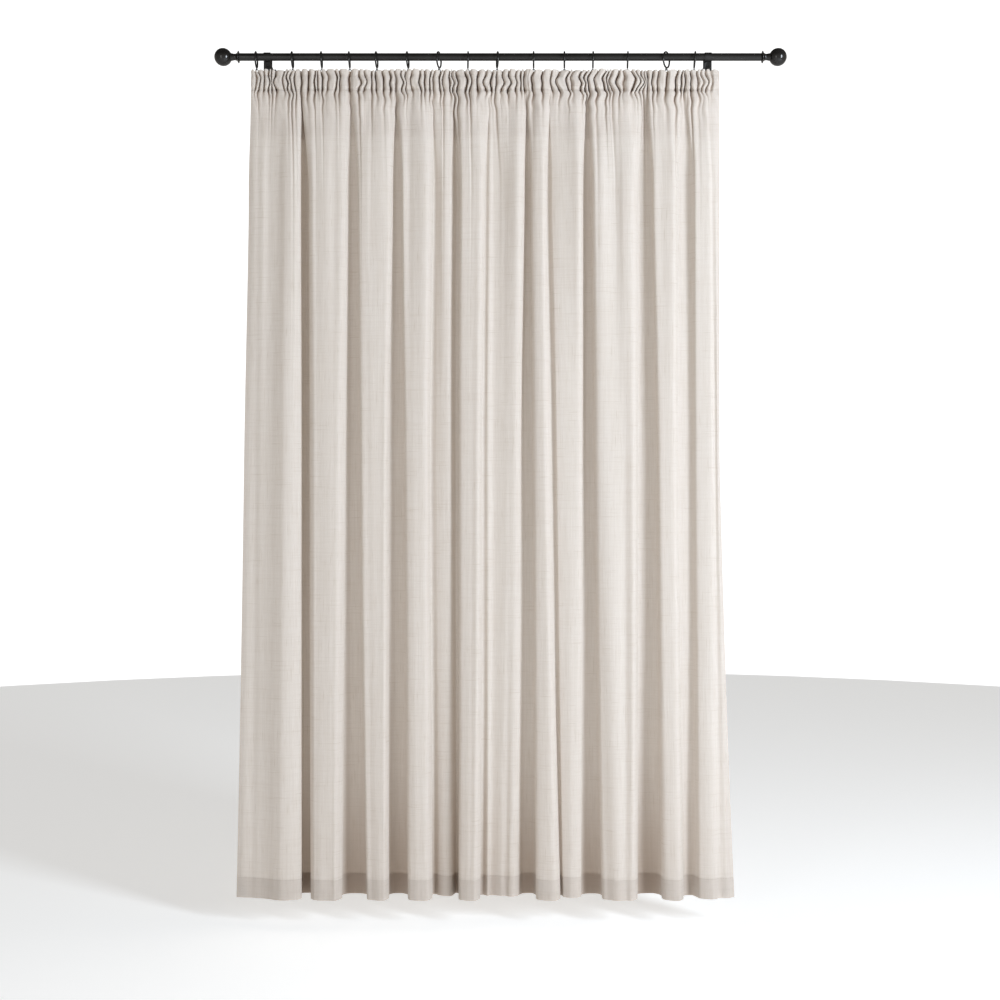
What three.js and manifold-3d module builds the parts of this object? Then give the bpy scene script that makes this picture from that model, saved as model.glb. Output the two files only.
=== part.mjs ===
// A pencil-pleat room curtain panel, drawn across its metal pole.
//
// Millimetres, +Z up. The wall is the plane Y = 0 and the room is on the -Y side. X = 0 is half
// way between the two wall brackets, and Z = 0 is the height of the pole's axis.

import * as THREE from 'three';
import { mergeVertices } from 'three/addons/utils/BufferGeometryUtils.js';
import Module from 'manifold-3d';

const wasm = await Module();
wasm.setup();

// ---------------------------------------------------------------- driving dimensions

const GAP = 0.3; // left between pieces that touch
const CUT = 1; // how far a cutter runs past the face it cuts

const PROJECTION = 90; // wall to the pole's axis
const POLE_DIAMETER = 22;
const POLE_WALL = 1.5;
const POLE_OVERHANG = 36; // pole beyond the heading at the closed end
const POLE_BARE = 127; // pole left bare at the leading end
const BRACKET_INSET = { left: 81.5, right: 157.5 }; // pole end to a bracket's middle

const DROP = 2438; // heading top to hem
const HEADING_WIDTH = 1377;
const FLARE_LEFT = 45; // how much wider the hem stands than the heading, each side
const FLARE_RIGHT = 48;
const CLOTH = 2.1; // thickness of the simple solid, which is the linen with its air
const HEADING_WAVE = 7; // half depth of the folds at the heading and at the hem
const HEM_WAVE = 42;
const WAVE_GROWTH = 900; // height over which the folds reach their full depth
const FOLDS = 10;

const TAPE_DEPTH = 50;
const TAPE_THICKNESS = 1.2;
const TAPE_BELOW_TOP = 12;
const TAPE_END_MARGIN = 4;
const BEHIND_CLOTH = 0.8; // from the cloth to the tape and the hem weights behind it
const TAPE_CORD = 2;
const CORD_FROM_TAPE_EDGE = 4;
const BELOW_TAPE = 10; // the folds start to deepen this far below the tape

const RING_INNER = 40;
const RING_WIRE = 5;
const RING_SEAT = 0.5; // between the pole's top and the ring that hangs on it
const EYE_OUTER = 9;
const EYE_WIRE = 2.2;
const HOOK_WIRE = 2.2;
const HOOK_SPREAD = 7; // half the distance between a hook's two feet
const HOOK_FOOT = 36; // how far down the heading the feet reach
const HEADING_BELOW_CROWN = 4.3;

const BALL_DIAMETER = 51.6;
const FINIAL_FLANGE = 36.6;
const FINIAL_NECK = 19;
const BALL_CENTRE = 48.8; // pole end to the middle of the ball
const SPIGOT_LENGTH = 25;

const COLLAR_WIDTH = 20;
const COLLAR_WALL = 1.7;
const WELD_OVERLAP = 1; // how far the stem runs into the collar
const STEM_WIDTH = 25.4;
const STEM_THICKNESS = 3;
const STEM_BELOW_HEADING_TOP = 4;
const ARM_SIZE = 12;
const ARM_BELOW_AXIS = 18;
const WALL_PLATE = { width: 25.4, aboveArm: 8, belowArm: 72, thickness: 4 };
const WALL_HOLE = { diameter: 5.5, belowArm: [20, 62] };
const COLLAR_SCREW = { head: 8, headHeight: 1.5, shank: 4.4, length: 20 };

const HEM_WEIGHT = { diameter: 24, thickness: 3, aboveHem: 26, fromEdge: 1 };

// Each ring: its place along the heading as a share of the width, how far it has turned on the
// pole (degrees about the vertical) and how far it leans along the pole (degrees).
const RINGS = [
  [0.0102, 1, -2],
  [0.0879, 1, -3],
  [0.15, 2, -2],
  [0.21, 2, -3],
  [0.268, -4, -2],
  [0.335, -5, -3],
  [0.401, -14, 0],
  [0.463, 1, 1],
  [0.526, 6, 1],
  [0.604, -1, 0],
  [0.67, -2, 0],
  [0.731, -3, 1],
  [0.805, -5, 2],
  [0.888, -30, 2],
  [0.948, -5, 4],
];

// ---------------------------------------------------------------- places that follow from them

const POLE_RADIUS = POLE_DIAMETER / 2;
const POLE_LENGTH = POLE_OVERHANG + HEADING_WIDTH + POLE_BARE;
const POLE_Y = -PROJECTION;
const HEADING_LEFT = -POLE_LENGTH / 2 + POLE_OVERHANG;
const BRACKETS = [
  ['left', BRACKET_INSET.left - POLE_LENGTH / 2],
  ['right', POLE_LENGTH / 2 - BRACKET_INSET.right],
];

const RING_OUTER = RING_INNER + 2 * RING_WIRE;
const RING_Z = POLE_RADIUS + RING_SEAT - RING_INNER / 2;
const EYE_RADIUS = (EYE_OUTER - EYE_WIRE) / 2;
const EYE_Z = RING_Z - RING_OUTER / 2 - EYE_RADIUS + EYE_WIRE / 2;
const CROWN_Z = EYE_Z - EYE_RADIUS + EYE_WIRE / 2 + GAP + HOOK_WIRE / 2;
const HEADING_TOP = CROWN_Z - HEADING_BELOW_CROWN;

const CLOTH_BACK = HEADING_WAVE + CLOTH / 2; // behind the pole's axis, at the heading
const TAPE_Y = CLOTH_BACK + BEHIND_CLOTH + TAPE_THICKNESS / 2;
const TAPE_CORD_Y = TAPE_Y + TAPE_THICKNESS / 2 + GAP + TAPE_CORD / 2;
const HOOK_Y = TAPE_CORD_Y + TAPE_CORD / 2 + GAP + HOOK_WIRE / 2;

const COLLAR_INNER = POLE_RADIUS + GAP;
const COLLAR_OUTER = COLLAR_INNER + COLLAR_WALL;
const STEM_FRONT = COLLAR_OUTER - WELD_OVERLAP; // behind the pole's axis
const STEM_BACK = STEM_FRONT + STEM_THICKNESS;

// ---------------------------------------------------------------- materials

const blackMetal = new THREE.MeshStandardMaterial({
  color: '#231f1d',
  roughness: 0.42,
  metalness: 0.6,
});
const linen = new THREE.MeshStandardMaterial({ color: '#d6cec6', roughness: 0.92, metalness: 0 });
const tapeWeave = new THREE.MeshStandardMaterial({ color: '#e9e5dd', roughness: 0.85, metalness: 0 });
const cordBraid = new THREE.MeshStandardMaterial({ color: '#efece6', roughness: 0.8, metalness: 0 });
const leadGrey = new THREE.MeshStandardMaterial({ color: '#77797b', roughness: 0.6, metalness: 0.8 });

// ---------------------------------------------------------------- solids and placing

const panel = new THREE.Group();

function addPiece(name, geometry, material) {
  const piece = new THREE.Mesh(geometry, material);
  piece.name = name;
  panel.add(piece);
  return piece;
}

function toSolid(geometry) {
  const bare = geometry.clone();
  bare.deleteAttribute('normal');
  bare.deleteAttribute('uv');
  const welded = mergeVertices(bare, 1e-4);
  const vertProperties = new Float32Array(welded.attributes.position.array);
  const triVerts = new Uint32Array(welded.index.array);
  return new wasm.Manifold(new wasm.Mesh({ numProp: 3, vertProperties, triVerts }));
}

function toGeometry(solid) {
  const mesh = solid.getMesh();
  const geometry = new THREE.BufferGeometry();
  geometry.setAttribute('position', new THREE.BufferAttribute(mesh.vertProperties.slice(), 3));
  geometry.setIndex(new THREE.BufferAttribute(mesh.triVerts.slice(), 1));
  geometry.computeVertexNormals();
  return geometry;
}

// A box given by its lowest and highest corners.
function boxBetween(low, high) {
  const size = high.map((h, i) => h - low[i]);
  const middle = high.map((h, i) => (h + low[i]) / 2);
  return new THREE.BoxGeometry(...size).translate(...middle);
}

// A turned shape about the X axis. Each point is [distance along X, radius].
function turned(points, segments) {
  const profile = points.map(([along, radius]) => new THREE.Vector2(radius, along));
  return new THREE.LatheGeometry(profile, segments).rotateZ(-Math.PI / 2);
}

// A round rod along Y between two distances from the wall.
function rodAlongY(radius, yFrom, yTo, x, z, segments = 16) {
  const rod = new THREE.CylinderGeometry(radius, radius, yTo - yFrom, segments);
  return rod.translate(x, (yFrom + yTo) / 2, z);
}

// ---------------------------------------------------------------- pole and finials

function poleTube() {
  const inner = POLE_RADIUS - POLE_WALL;
  const half = POLE_LENGTH / 2;
  const profile = [[-half, inner], [-half, POLE_RADIUS], [half, POLE_RADIUS], [half, inner]];
  return turned([...profile, profile[0]], 24).translate(0, POLE_Y, 0);
}

// The ball end: a spigot that pushes into the pole, a thin flared flange, a waisted neck, a ball.
function finial(side) {
  const spigot = POLE_RADIUS - POLE_WALL - GAP;
  const flange = FINIAL_FLANGE / 2;
  const neck = FINIAL_NECK / 2;
  const ball = BALL_DIAMETER / 2;
  const points = [
    [-SPIGOT_LENGTH, 0],
    [-SPIGOT_LENGTH, spigot - 1],
    [-SPIGOT_LENGTH + 1, spigot],
    [GAP, spigot],
    [GAP, POLE_RADIUS + 1],
    [2.2, flange - 1.6],
    [3.4, flange],
    [4.8, flange - 2.4],
    [8, neck + 2],
    [12.5, neck],
    [18, neck + 0.3],
  ];
  const start = Math.asin((neck + 1.8) / ball);
  const steps = 9;
  for (let i = 0; i <= steps; i += 1) {
    const angle = start + ((Math.PI - start) * i) / steps;
    points.push([BALL_CENTRE - ball * Math.cos(angle), ball * Math.sin(angle)]);
  }
  points[points.length - 1][1] = 0;
  const shape = turned(points, 20).translate(POLE_LENGTH / 2, 0, 0);
  if (side < 0) {
    shape.rotateZ(Math.PI);
  }
  return shape.translate(0, POLE_Y, 0);
}

addPiece('pole_tube', poleTube(), blackMetal);
addPiece('finial_left', finial(-1), blackMetal);
addPiece('finial_right', finial(1), blackMetal);

// ---------------------------------------------------------------- wall brackets

// The pressed collar that the pole passes through, on the stem that hangs behind the heading.
function poleCollar(x) {
  const half = COLLAR_WIDTH / 2;
  const band = turned(
    [
      [-half, COLLAR_INNER],
      [-half, COLLAR_OUTER],
      [half, COLLAR_OUTER],
      [half, COLLAR_INNER],
      [-half, COLLAR_INNER],
    ],
    24,
  ).translate(x, POLE_Y, 0);
  const stem = boxBetween(
    [x - STEM_WIDTH / 2, POLE_Y + STEM_FRONT, HEADING_TOP - STEM_BELOW_HEADING_TOP],
    [x + STEM_WIDTH / 2, POLE_Y + STEM_BACK, POLE_RADIUS / 2],
  );
  const seat = COLLAR_SCREW.headHeight + 2 * GAP;
  const front = POLE_Y + STEM_FRONT;
  const recess = rodAlongY(COLLAR_SCREW.head / 2 + GAP, front - CUT, front + seat, x, -ARM_BELOW_AXIS);
  const hole = rodAlongY(
    COLLAR_SCREW.shank / 2 + GAP,
    front,
    front + STEM_THICKNESS + CUT,
    x,
    -ARM_BELOW_AXIS,
  );
  const bore = turned(
    [
      [-half - CUT, 0],
      [-half - CUT, COLLAR_INNER],
      [half + CUT, COLLAR_INNER],
      [half + CUT, 0],
    ],
    24,
  ).translate(x, POLE_Y, 0);
  return toGeometry(
    toSolid(band)
      .add(toSolid(stem))
      .subtract(toSolid(bore))
      .subtract(toSolid(recess))
      .subtract(toSolid(hole)),
  );
}

// The wall plate with its square arm welded on. The arm's end is bored for the collar's screw.
function wallBracket(x) {
  const plate = boxBetween(
    [x - WALL_PLATE.width / 2, -WALL_PLATE.thickness, -ARM_BELOW_AXIS - WALL_PLATE.belowArm],
    [x + WALL_PLATE.width / 2, 0, -ARM_BELOW_AXIS + WALL_PLATE.aboveArm],
  );
  const armEnd = POLE_Y + STEM_BACK + GAP;
  const arm = boxBetween(
    [x - ARM_SIZE / 2, armEnd, -ARM_BELOW_AXIS - ARM_SIZE / 2],
    [x + ARM_SIZE / 2, -WALL_PLATE.thickness / 2, -ARM_BELOW_AXIS + ARM_SIZE / 2],
  );
  let bracket = toSolid(plate).add(toSolid(arm));
  const bore = rodAlongY(
    COLLAR_SCREW.shank / 2 + GAP,
    armEnd - CUT,
    armEnd + COLLAR_SCREW.length,
    x,
    -ARM_BELOW_AXIS,
  );
  bracket = bracket.subtract(toSolid(bore));
  for (const belowArm of WALL_HOLE.belowArm) {
    const z = -ARM_BELOW_AXIS - belowArm;
    const hole = rodAlongY(WALL_HOLE.diameter / 2, -WALL_PLATE.thickness - CUT, CUT, x, z);
    bracket = bracket.subtract(toSolid(hole));
  }
  return toGeometry(bracket);
}

// The machine screw that draws the collar's stem on to the end of the arm.
function collarScrew(x) {
  const front = POLE_Y + STEM_FRONT + GAP;
  const neck = front + COLLAR_SCREW.headHeight;
  const head = rodAlongY(COLLAR_SCREW.head / 2, front, neck, x, -ARM_BELOW_AXIS);
  const shank = rodAlongY(
    COLLAR_SCREW.shank / 2,
    neck - 0.5,
    front + COLLAR_SCREW.length,
    x,
    -ARM_BELOW_AXIS,
  );
  return toGeometry(toSolid(head).add(toSolid(shank)));
}

for (const [side, x] of BRACKETS) {
  addPiece(`wall_bracket_${side}`, wallBracket(x), blackMetal);
  addPiece(`pole_collar_${side}`, poleCollar(x), blackMetal);
  addPiece(`collar_screw_${side}`, collarScrew(x), blackMetal);
}

// ---------------------------------------------------------------- rings and hooks

// A wire ring with its small eye at the bottom, about the eye's centre, in the Y-Z plane.
function ringWithEye() {
  const middle = (RING_INNER + RING_WIRE) / 2;
  const ring = new THREE.TorusGeometry(middle, RING_WIRE / 2, 6, 18);
  ring.rotateZ(Math.PI / 2).rotateY(Math.PI / 2).translate(0, 0, RING_Z - EYE_Z);
  const eye = new THREE.TorusGeometry(EYE_RADIUS, EYE_WIRE / 2, 5, 8);
  eye.rotateZ(Math.PI / 2).rotateY(Math.PI / 2);
  return toGeometry(toSolid(ring).add(toSolid(eye)));
}

// A hairpin of wire. Its crown hangs in the ring's eye, and its two legs spread and go down
// behind the heading into the tape. The upper part turns with the ring.
function hook(yaw) {
  const down = (distance) => HEADING_TOP - distance;
  const leg = [
    // [out from the middle, behind the pole's axis, height, share of the ring's turn]
    [2.1, 0.3, CROWN_Z - 0.1, 1],
    [3.2, 3.4, CROWN_Z - 0.4, 1],
    [4.0, CLOTH_BACK - 0.3, CROWN_Z - 1.3, 0.4],
    [4.8, CLOTH_BACK + 2.9, down(1), 0.15],
    [5.6, HOOK_Y - 0.6, down(8), 0],
    [HOOK_SPREAD, HOOK_Y, down(18), 0],
    [HOOK_SPREAD, HOOK_Y, down(HOOK_FOOT), 0],
  ];
  const place = (side) => ([out, back, z, share]) => {
    const turn = yaw * share;
    const x = side * out;
    return new THREE.Vector3(
      x * Math.cos(turn) - back * Math.sin(turn),
      x * Math.sin(turn) + back * Math.cos(turn),
      z,
    );
  };
  const left = leg.map(place(-1)).reverse();
  const right = leg.map(place(1));
  const crown = new THREE.Vector3(0, 0, CROWN_Z);
  const path = new THREE.CatmullRomCurve3([...left, crown, ...right], false, 'centripetal');
  const section = new THREE.Shape();
  section.absarc(0, 0, HOOK_WIRE / 2, 0, 2 * Math.PI);
  return new THREE.ExtrudeGeometry(section, {
    steps: 22,
    curveSegments: 3,
    bevelEnabled: false,
    extrudePath: path,
  });
}

RINGS.forEach(([share, yawDegrees, leanDegrees], index) => {
  const number = String(index + 1).padStart(2, '0');
  const x = HEADING_LEFT + share * HEADING_WIDTH;
  const yaw = THREE.MathUtils.degToRad(yawDegrees);
  const ring = addPiece(`ring_${number}`, ringWithEye(), blackMetal);
  ring.rotation.set(0, THREE.MathUtils.degToRad(leanDegrees), yaw, 'ZYX');
  ring.position.set(x, POLE_Y, EYE_Z);
  const wire = addPiece(`hook_${number}`, hook(yaw), blackMetal);
  wire.position.set(x, POLE_Y, 0);
});

// ---------------------------------------------------------------- curtain

const BOX_BACK = 3; // which of a box's six sides faces the other way along its thickness
const HEADING_SHARE = (TAPE_BELOW_TOP + TAPE_DEPTH + BELOW_TAPE) / DROP;

// A point of the hung cloth: u runs along the width from 0 to 1, v down the drop from 0 to 1.
function hungCloth(u, v) {
  const left = HEADING_LEFT - FLARE_LEFT * v;
  const right = HEADING_LEFT + HEADING_WIDTH + FLARE_RIGHT * v ** 3;
  const grown = THREE.MathUtils.smoothstep((v - HEADING_SHARE) * DROP, 0, WAVE_GROWTH);
  const depth = THREE.MathUtils.lerp(HEADING_WAVE, HEM_WAVE, grown);
  const turn = 2 * Math.PI * FOLDS;
  return {
    x: THREE.MathUtils.lerp(left, right, u),
    y: POLE_Y + depth * Math.cos(turn * u),
    z: HEADING_TOP - v * DROP,
    normal: new THREE.Vector2(depth * turn * Math.sin(turn * u), right - left).normalize(),
  };
}

// One loom width of the linen as a thin folded solid, between two shares of the whole width. Its
// back is split into triangles along the same diagonals as its front, which keeps it even in thickness.
function fabricWidth(uFrom, uTo) {
  const across = 48;
  const down = 10;
  const sheet = new THREE.BoxGeometry(1, CLOTH, 1, across, 1, down);
  const position = sheet.attributes.position;
  for (let i = 0; i < position.count; i += 1) {
    const u = THREE.MathUtils.lerp(uFrom, uTo, position.getX(i) + 0.5);
    const row = Math.round((0.5 - position.getZ(i)) * down);
    const below = THREE.MathUtils.lerp(HEADING_SHARE, 1, (row - 1) / (down - 1));
    const point = hungCloth(u, row === 0 ? 0 : below);
    const out = point.normal.multiplyScalar(position.getY(i));
    position.setXYZ(i, point.x + out.x, point.y + out.y, point.z);
  }
  const back = sheet.groups[BOX_BACK];
  for (let i = back.start; i < back.start + back.count; i += 6) {
    const [a, b, c, d] = [i, i + 1, i + 4, i + 5].map((place) => sheet.index.getX(place));
    [a, b, c, a, c, d].forEach((vertex, k) => sheet.index.setX(i + k, vertex));
  }
  return sheet;
}

const SEAM = 0.5; // where the two loom widths are joined, as a share of the width
const seamGap = GAP / 2 / HEADING_WIDTH;
addPiece('fabric_width_left', fabricWidth(0, SEAM - seamGap), linen);
addPiece('fabric_width_right', fabricWidth(SEAM + seamGap, 1), linen);

const tapeTop = HEADING_TOP - TAPE_BELOW_TOP;
const tapeLeft = HEADING_LEFT + TAPE_END_MARGIN;
const tapeRight = HEADING_LEFT + HEADING_WIDTH - TAPE_END_MARGIN;
const tape = boxBetween(
  [tapeLeft, POLE_Y + TAPE_Y - TAPE_THICKNESS / 2, tapeTop - TAPE_DEPTH],
  [tapeRight, POLE_Y + TAPE_Y + TAPE_THICKNESS / 2, tapeTop],
);
addPiece('heading_tape', tape, tapeWeave);

for (const [name, z] of [
  ['tape_cord_upper', tapeTop - CORD_FROM_TAPE_EDGE],
  ['tape_cord_lower', tapeTop - TAPE_DEPTH + CORD_FROM_TAPE_EDGE],
]) {
  const cord = new THREE.CylinderGeometry(TAPE_CORD / 2, TAPE_CORD / 2, tapeRight - tapeLeft, 8);
  cord.rotateZ(Math.PI / 2).translate((tapeLeft + tapeRight) / 2, POLE_Y + TAPE_CORD_Y, z);
  addPiece(name, cord, cordBraid);
}

// A round weight lies in the hem at each bottom corner and at the seam.
for (const [name, u] of [['left', 0.0], ['seam', SEAM], ['right', 1.0]]) {
  const foot = hungCloth(u, 1);
  const inward = (HEM_WEIGHT.diameter / 2 + HEM_WEIGHT.fromEdge) * (1 - 2 * u);
  const back = foot.y + CLOTH / 2 + BEHIND_CLOTH;
  const z = foot.z + HEM_WEIGHT.aboveHem;
  const weight = rodAlongY(HEM_WEIGHT.diameter / 2, back, back + HEM_WEIGHT.thickness, foot.x + inward, z);
  addPiece(`hem_weight_${name}`, weight, leadGrey);
}

export default panel;
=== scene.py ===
"""The fabric room curtain panel on its pole: finish, cloth and studio around the fixed frame."""

import math

import bmesh
import bpy
import numpy as np
from mathutils import Matrix, Vector


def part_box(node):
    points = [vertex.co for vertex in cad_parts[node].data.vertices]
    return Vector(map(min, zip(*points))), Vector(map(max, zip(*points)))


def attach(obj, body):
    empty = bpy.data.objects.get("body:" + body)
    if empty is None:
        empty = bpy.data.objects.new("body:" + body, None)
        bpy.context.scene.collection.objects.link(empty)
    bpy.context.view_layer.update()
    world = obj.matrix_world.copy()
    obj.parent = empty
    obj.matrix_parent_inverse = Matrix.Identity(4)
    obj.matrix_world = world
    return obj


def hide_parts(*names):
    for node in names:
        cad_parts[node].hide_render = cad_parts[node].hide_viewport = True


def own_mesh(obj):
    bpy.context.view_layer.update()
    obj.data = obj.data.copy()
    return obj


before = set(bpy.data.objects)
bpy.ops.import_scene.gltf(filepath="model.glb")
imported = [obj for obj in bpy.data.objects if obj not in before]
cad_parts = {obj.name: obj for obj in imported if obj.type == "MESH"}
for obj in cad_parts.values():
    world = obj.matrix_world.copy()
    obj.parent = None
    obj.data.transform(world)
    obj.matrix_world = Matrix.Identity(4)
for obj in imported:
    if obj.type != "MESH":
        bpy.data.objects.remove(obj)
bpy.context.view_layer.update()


# ---- Camera, floor and studio light
# A level camera at about the panel's mid height, a plain white floor below the hem, and a big soft
# light on the right with a weak one on the left, inside an even white room.

camera_data = bpy.data.cameras.new("camera")
camera_data.lens = 50
camera_data.sensor_width = 36
camera_data.clip_end = 60
camera = bpy.data.objects.new("camera", camera_data)
camera.location = (-0.0015, -4.19, -1.3076)
camera.rotation_euler = (math.radians(90), 0, 0)
bpy.context.collection.objects.link(camera)
bpy.context.scene.camera = camera

world = bpy.data.worlds.new("white room")
world.use_nodes = True
room = world.node_tree
room.nodes.clear()
facing, apart, upright, level, room_light, room_seen, ray, either, room_out = [
    room.nodes.new("ShaderNode" + kind)
    for kind in (
        "TexCoord", "SeparateXYZ", "MapRange", "ValToRGB", "Background", "Background", "LightPath",
        "MixShader", "OutputWorld",
    )
]
# bright at eye level and towards the floor, dim overhead, and a little warm all round
for place, glow in ((0.0, 0.36), (0.80, 0.12), (0.30, 0.52), (0.50, 0.60), (0.60, 0.44)):
    if place == 0.0:
        stop = level.color_ramp.elements[0]
    elif place == 0.80:
        stop = level.color_ramp.elements[1]
    else:
        stop = level.color_ramp.elements.new(place)
    stop.position = place
    stop.color = (glow, 0.965 * glow, 0.90 * glow, 1)
upright.inputs["From Min"].default_value = -1
room.links.new(facing.outputs["Generated"], apart.inputs["Vector"])
room.links.new(apart.outputs["Z"], upright.inputs["Value"])
room.links.new(upright.outputs["Result"], level.inputs["Fac"])
room.links.new(level.outputs["Color"], room_light.inputs["Color"])
room_seen.inputs["Color"].default_value = (1, 1, 1, 1)
room_seen.inputs["Strength"].default_value = 1.2
room.links.new(ray.outputs["Is Camera Ray"], either.inputs["Fac"])
room.links.new(room_light.outputs[0], either.inputs[1])
room.links.new(room_seen.outputs[0], either.inputs[2])
room.links.new(either.outputs[0], room_out.inputs["Surface"])
bpy.context.scene.world = world
bpy.context.scene.view_settings.view_transform = "Standard"

PANEL_MIDDLE = Vector((-0.04, -0.09, -1.25))


def soft_light(name, place, width, height, watts, colour):
    data = bpy.data.lights.new(name, "AREA")
    data.shape = "RECTANGLE"
    data.size, data.size_y = width, height
    data.energy = watts
    data.color = colour
    light = bpy.data.objects.new(name, data)
    light.location = place
    light.rotation_euler = (PANEL_MIDDLE - Vector(place)).to_track_quat("-Z", "Y").to_euler()
    bpy.context.collection.objects.link(light)


soft_light("key", (3.2, -3.1, -0.45), 0.9, 2.2, 180, (0.90, 0.985, 1.09))
soft_light("fill", (-2.2, -4.6, -1.0), 1.2, 2.4, 28, (0.98, 0.99, 1.0))

FLOOR_Z = -2.56  # some 80 mm below the hem
floor_mesh = bmesh.new()
bmesh.ops.create_circle(floor_mesh, cap_ends=True, radius=7, segments=64)
bmesh.ops.translate(floor_mesh, verts=floor_mesh.verts, vec=(0, -1, FLOOR_Z))
floor_data = bpy.data.meshes.new("floor")
floor_mesh.to_mesh(floor_data)
floor_mesh.free()
floor = bpy.data.objects.new("floor", floor_data)
bpy.context.collection.objects.link(floor)
floor_paint = bpy.data.materials.new("pale floor")
floor_paint.use_nodes = True
floor_shader = floor_paint.node_tree.nodes["Principled BSDF"]
floor_shader.inputs["Base Color"].default_value = (0.88, 0.88, 0.87, 1)
floor_shader.inputs["Roughness"].default_value = 0.9
floor_shader.inputs["Emission Color"].default_value = (1, 1, 1, 1)
floor_shader.inputs["Emission Strength"].default_value = 0.5
floor_data.materials.append(floor_paint)


# ---- Wall brackets
# A steel plate with two screw holes and a square arm welded to it, the arm's end bored for the
# collar's screw. Powder coated black-brown, like all the metal on the pole.


def add_nodes(tree, *kinds):
    return [tree.nodes.new("ShaderNode" + kind) for kind in kinds]


def black_metal(name, roughness, seed, rub=0.0, rub_scale=60):
    """Black-brown coated steel: a fine orange peel, faint cloudy tone, and rubbed patches."""
    paint = bpy.data.materials.new(name)
    paint.use_nodes = True
    tree = paint.node_tree
    shader = tree.nodes["Principled BSDF"]
    shader.inputs["Specular IOR Level"].default_value = 0.4
    place, shift, cloud, peel, tone, shine, bump = add_nodes(
        tree, "TexCoord", "Mapping", "TexNoise", "TexNoise", "ValToRGB", "MapRange", "Bump"
    )
    shift.inputs["Location"].default_value = (seed, seed * 1.7, seed * 0.6)
    tree.links.new(place.outputs["Object"], shift.inputs["Vector"])
    for noise, scale, detail in ((cloud, rub_scale, 3), (peel, 1400, 1)):
        tree.links.new(shift.outputs["Vector"], noise.inputs["Vector"])
        noise.inputs["Scale"].default_value = scale
        noise.inputs["Detail"].default_value = detail
    tone.color_ramp.elements[0].position = 0.3
    tone.color_ramp.elements[0].color = (0.0062, 0.0054, 0.0048, 1)
    tone.color_ramp.elements[1].position = 0.72
    tone.color_ramp.elements[1].color = (0.0105 + rub, 0.0094 + rub, 0.0085 + rub, 1)
    tree.links.new(cloud.outputs["Fac"], tone.inputs["Fac"])
    tree.links.new(tone.outputs["Color"], shader.inputs["Base Color"])
    shine.inputs["To Min"].default_value = roughness - 0.05
    shine.inputs["To Max"].default_value = roughness + 0.07
    tree.links.new(cloud.outputs["Fac"], shine.inputs["Value"])
    tree.links.new(shine.outputs["Result"], shader.inputs["Roughness"])
    bump.inputs["Strength"].default_value = 0.25
    bump.inputs["Distance"].default_value = 0.0001
    tree.links.new(peel.outputs["Fac"], bump.inputs["Height"])
    tree.links.new(bump.outputs["Normal"], shader.inputs["Normal"])
    return paint


def ease_edges(piece, width):
    """A small round on each edge where two faces meet at more than 50 degrees."""
    ease = piece.modifiers.new("eased edges", "BEVEL")
    ease.width, ease.segments, ease.limit_method = width, 2, "ANGLE"
    ease.angle_limit = math.radians(50)


def finished(name, shape, paint, body, slot, *nodes, edge=0.0, smooth_angle=35):
    """A piece from its bmesh, with its corners eased, its finish, its body and its CAD nodes."""
    data = bpy.data.meshes.new(name)
    shape.to_mesh(data)
    shape.free()
    data.materials.append(paint)
    data.shade_smooth()
    data.set_sharp_from_angle(angle=math.radians(smooth_angle))
    made = bpy.data.objects.new(name, data)
    bpy.context.collection.objects.link(made)
    if edge:
        ease_edges(made, edge)
    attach(made, body)
    if nodes:
        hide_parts(*nodes)
    return made


def add_block(shape, low, high):
    made = bmesh.ops.create_cube(shape, size=1)["verts"]
    size = [b - a for a, b in zip(low, high)]
    middle = [(a + b) / 2 for a, b in zip(low, high)]
    bmesh.ops.scale(shape, verts=made, vec=size)
    bmesh.ops.translate(shape, verts=made, vec=middle)


def add_rod(shape, radius, y_from, y_to, x, z, sides=32):
    """A round rod that points at the wall."""
    bmesh.ops.create_cone(
        shape,
        cap_ends=True,
        segments=sides,
        radius1=radius,
        radius2=radius,
        depth=y_to - y_from,
        matrix=Matrix.Translation((x, (y_from + y_to) / 2, z)) @ Matrix.Rotation(-math.pi / 2, 4, "X"),
    )


def combine(piece, shape, operation):
    """Welds another closed shape to a piece (UNION), or takes its volume out (DIFFERENCE)."""
    data = bpy.data.meshes.new("tool")
    bmesh.ops.recalc_face_normals(shape, faces=shape.faces)
    shape.to_mesh(data)
    shape.free()
    tool = bpy.data.objects.new("tool", data)
    bpy.context.collection.objects.link(tool)
    change = piece.modifiers.new("change", "BOOLEAN")
    change.operation, change.solver, change.object = operation, "EXACT", tool
    changed = piece.evaluated_get(bpy.context.evaluated_depsgraph_get())
    result = bpy.data.meshes.new_from_object(changed)
    piece.modifiers.clear()
    piece.data = result
    bpy.data.objects.remove(tool)


BRACKETS = (("left", -0.6885), ("right", 0.6125))
POLE_Y, POLE_RADIUS = -0.09, 0.011
ARM_Z, ARM_HALF = -0.018, 0.006
STEM_FRONT, STEM_BACK = -0.078, -0.075
STRAP_HALF = 0.0127  # half the width of the plates and of the collars' stems
SEAT = 0.0003  # what a stem stands off its arm

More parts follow.
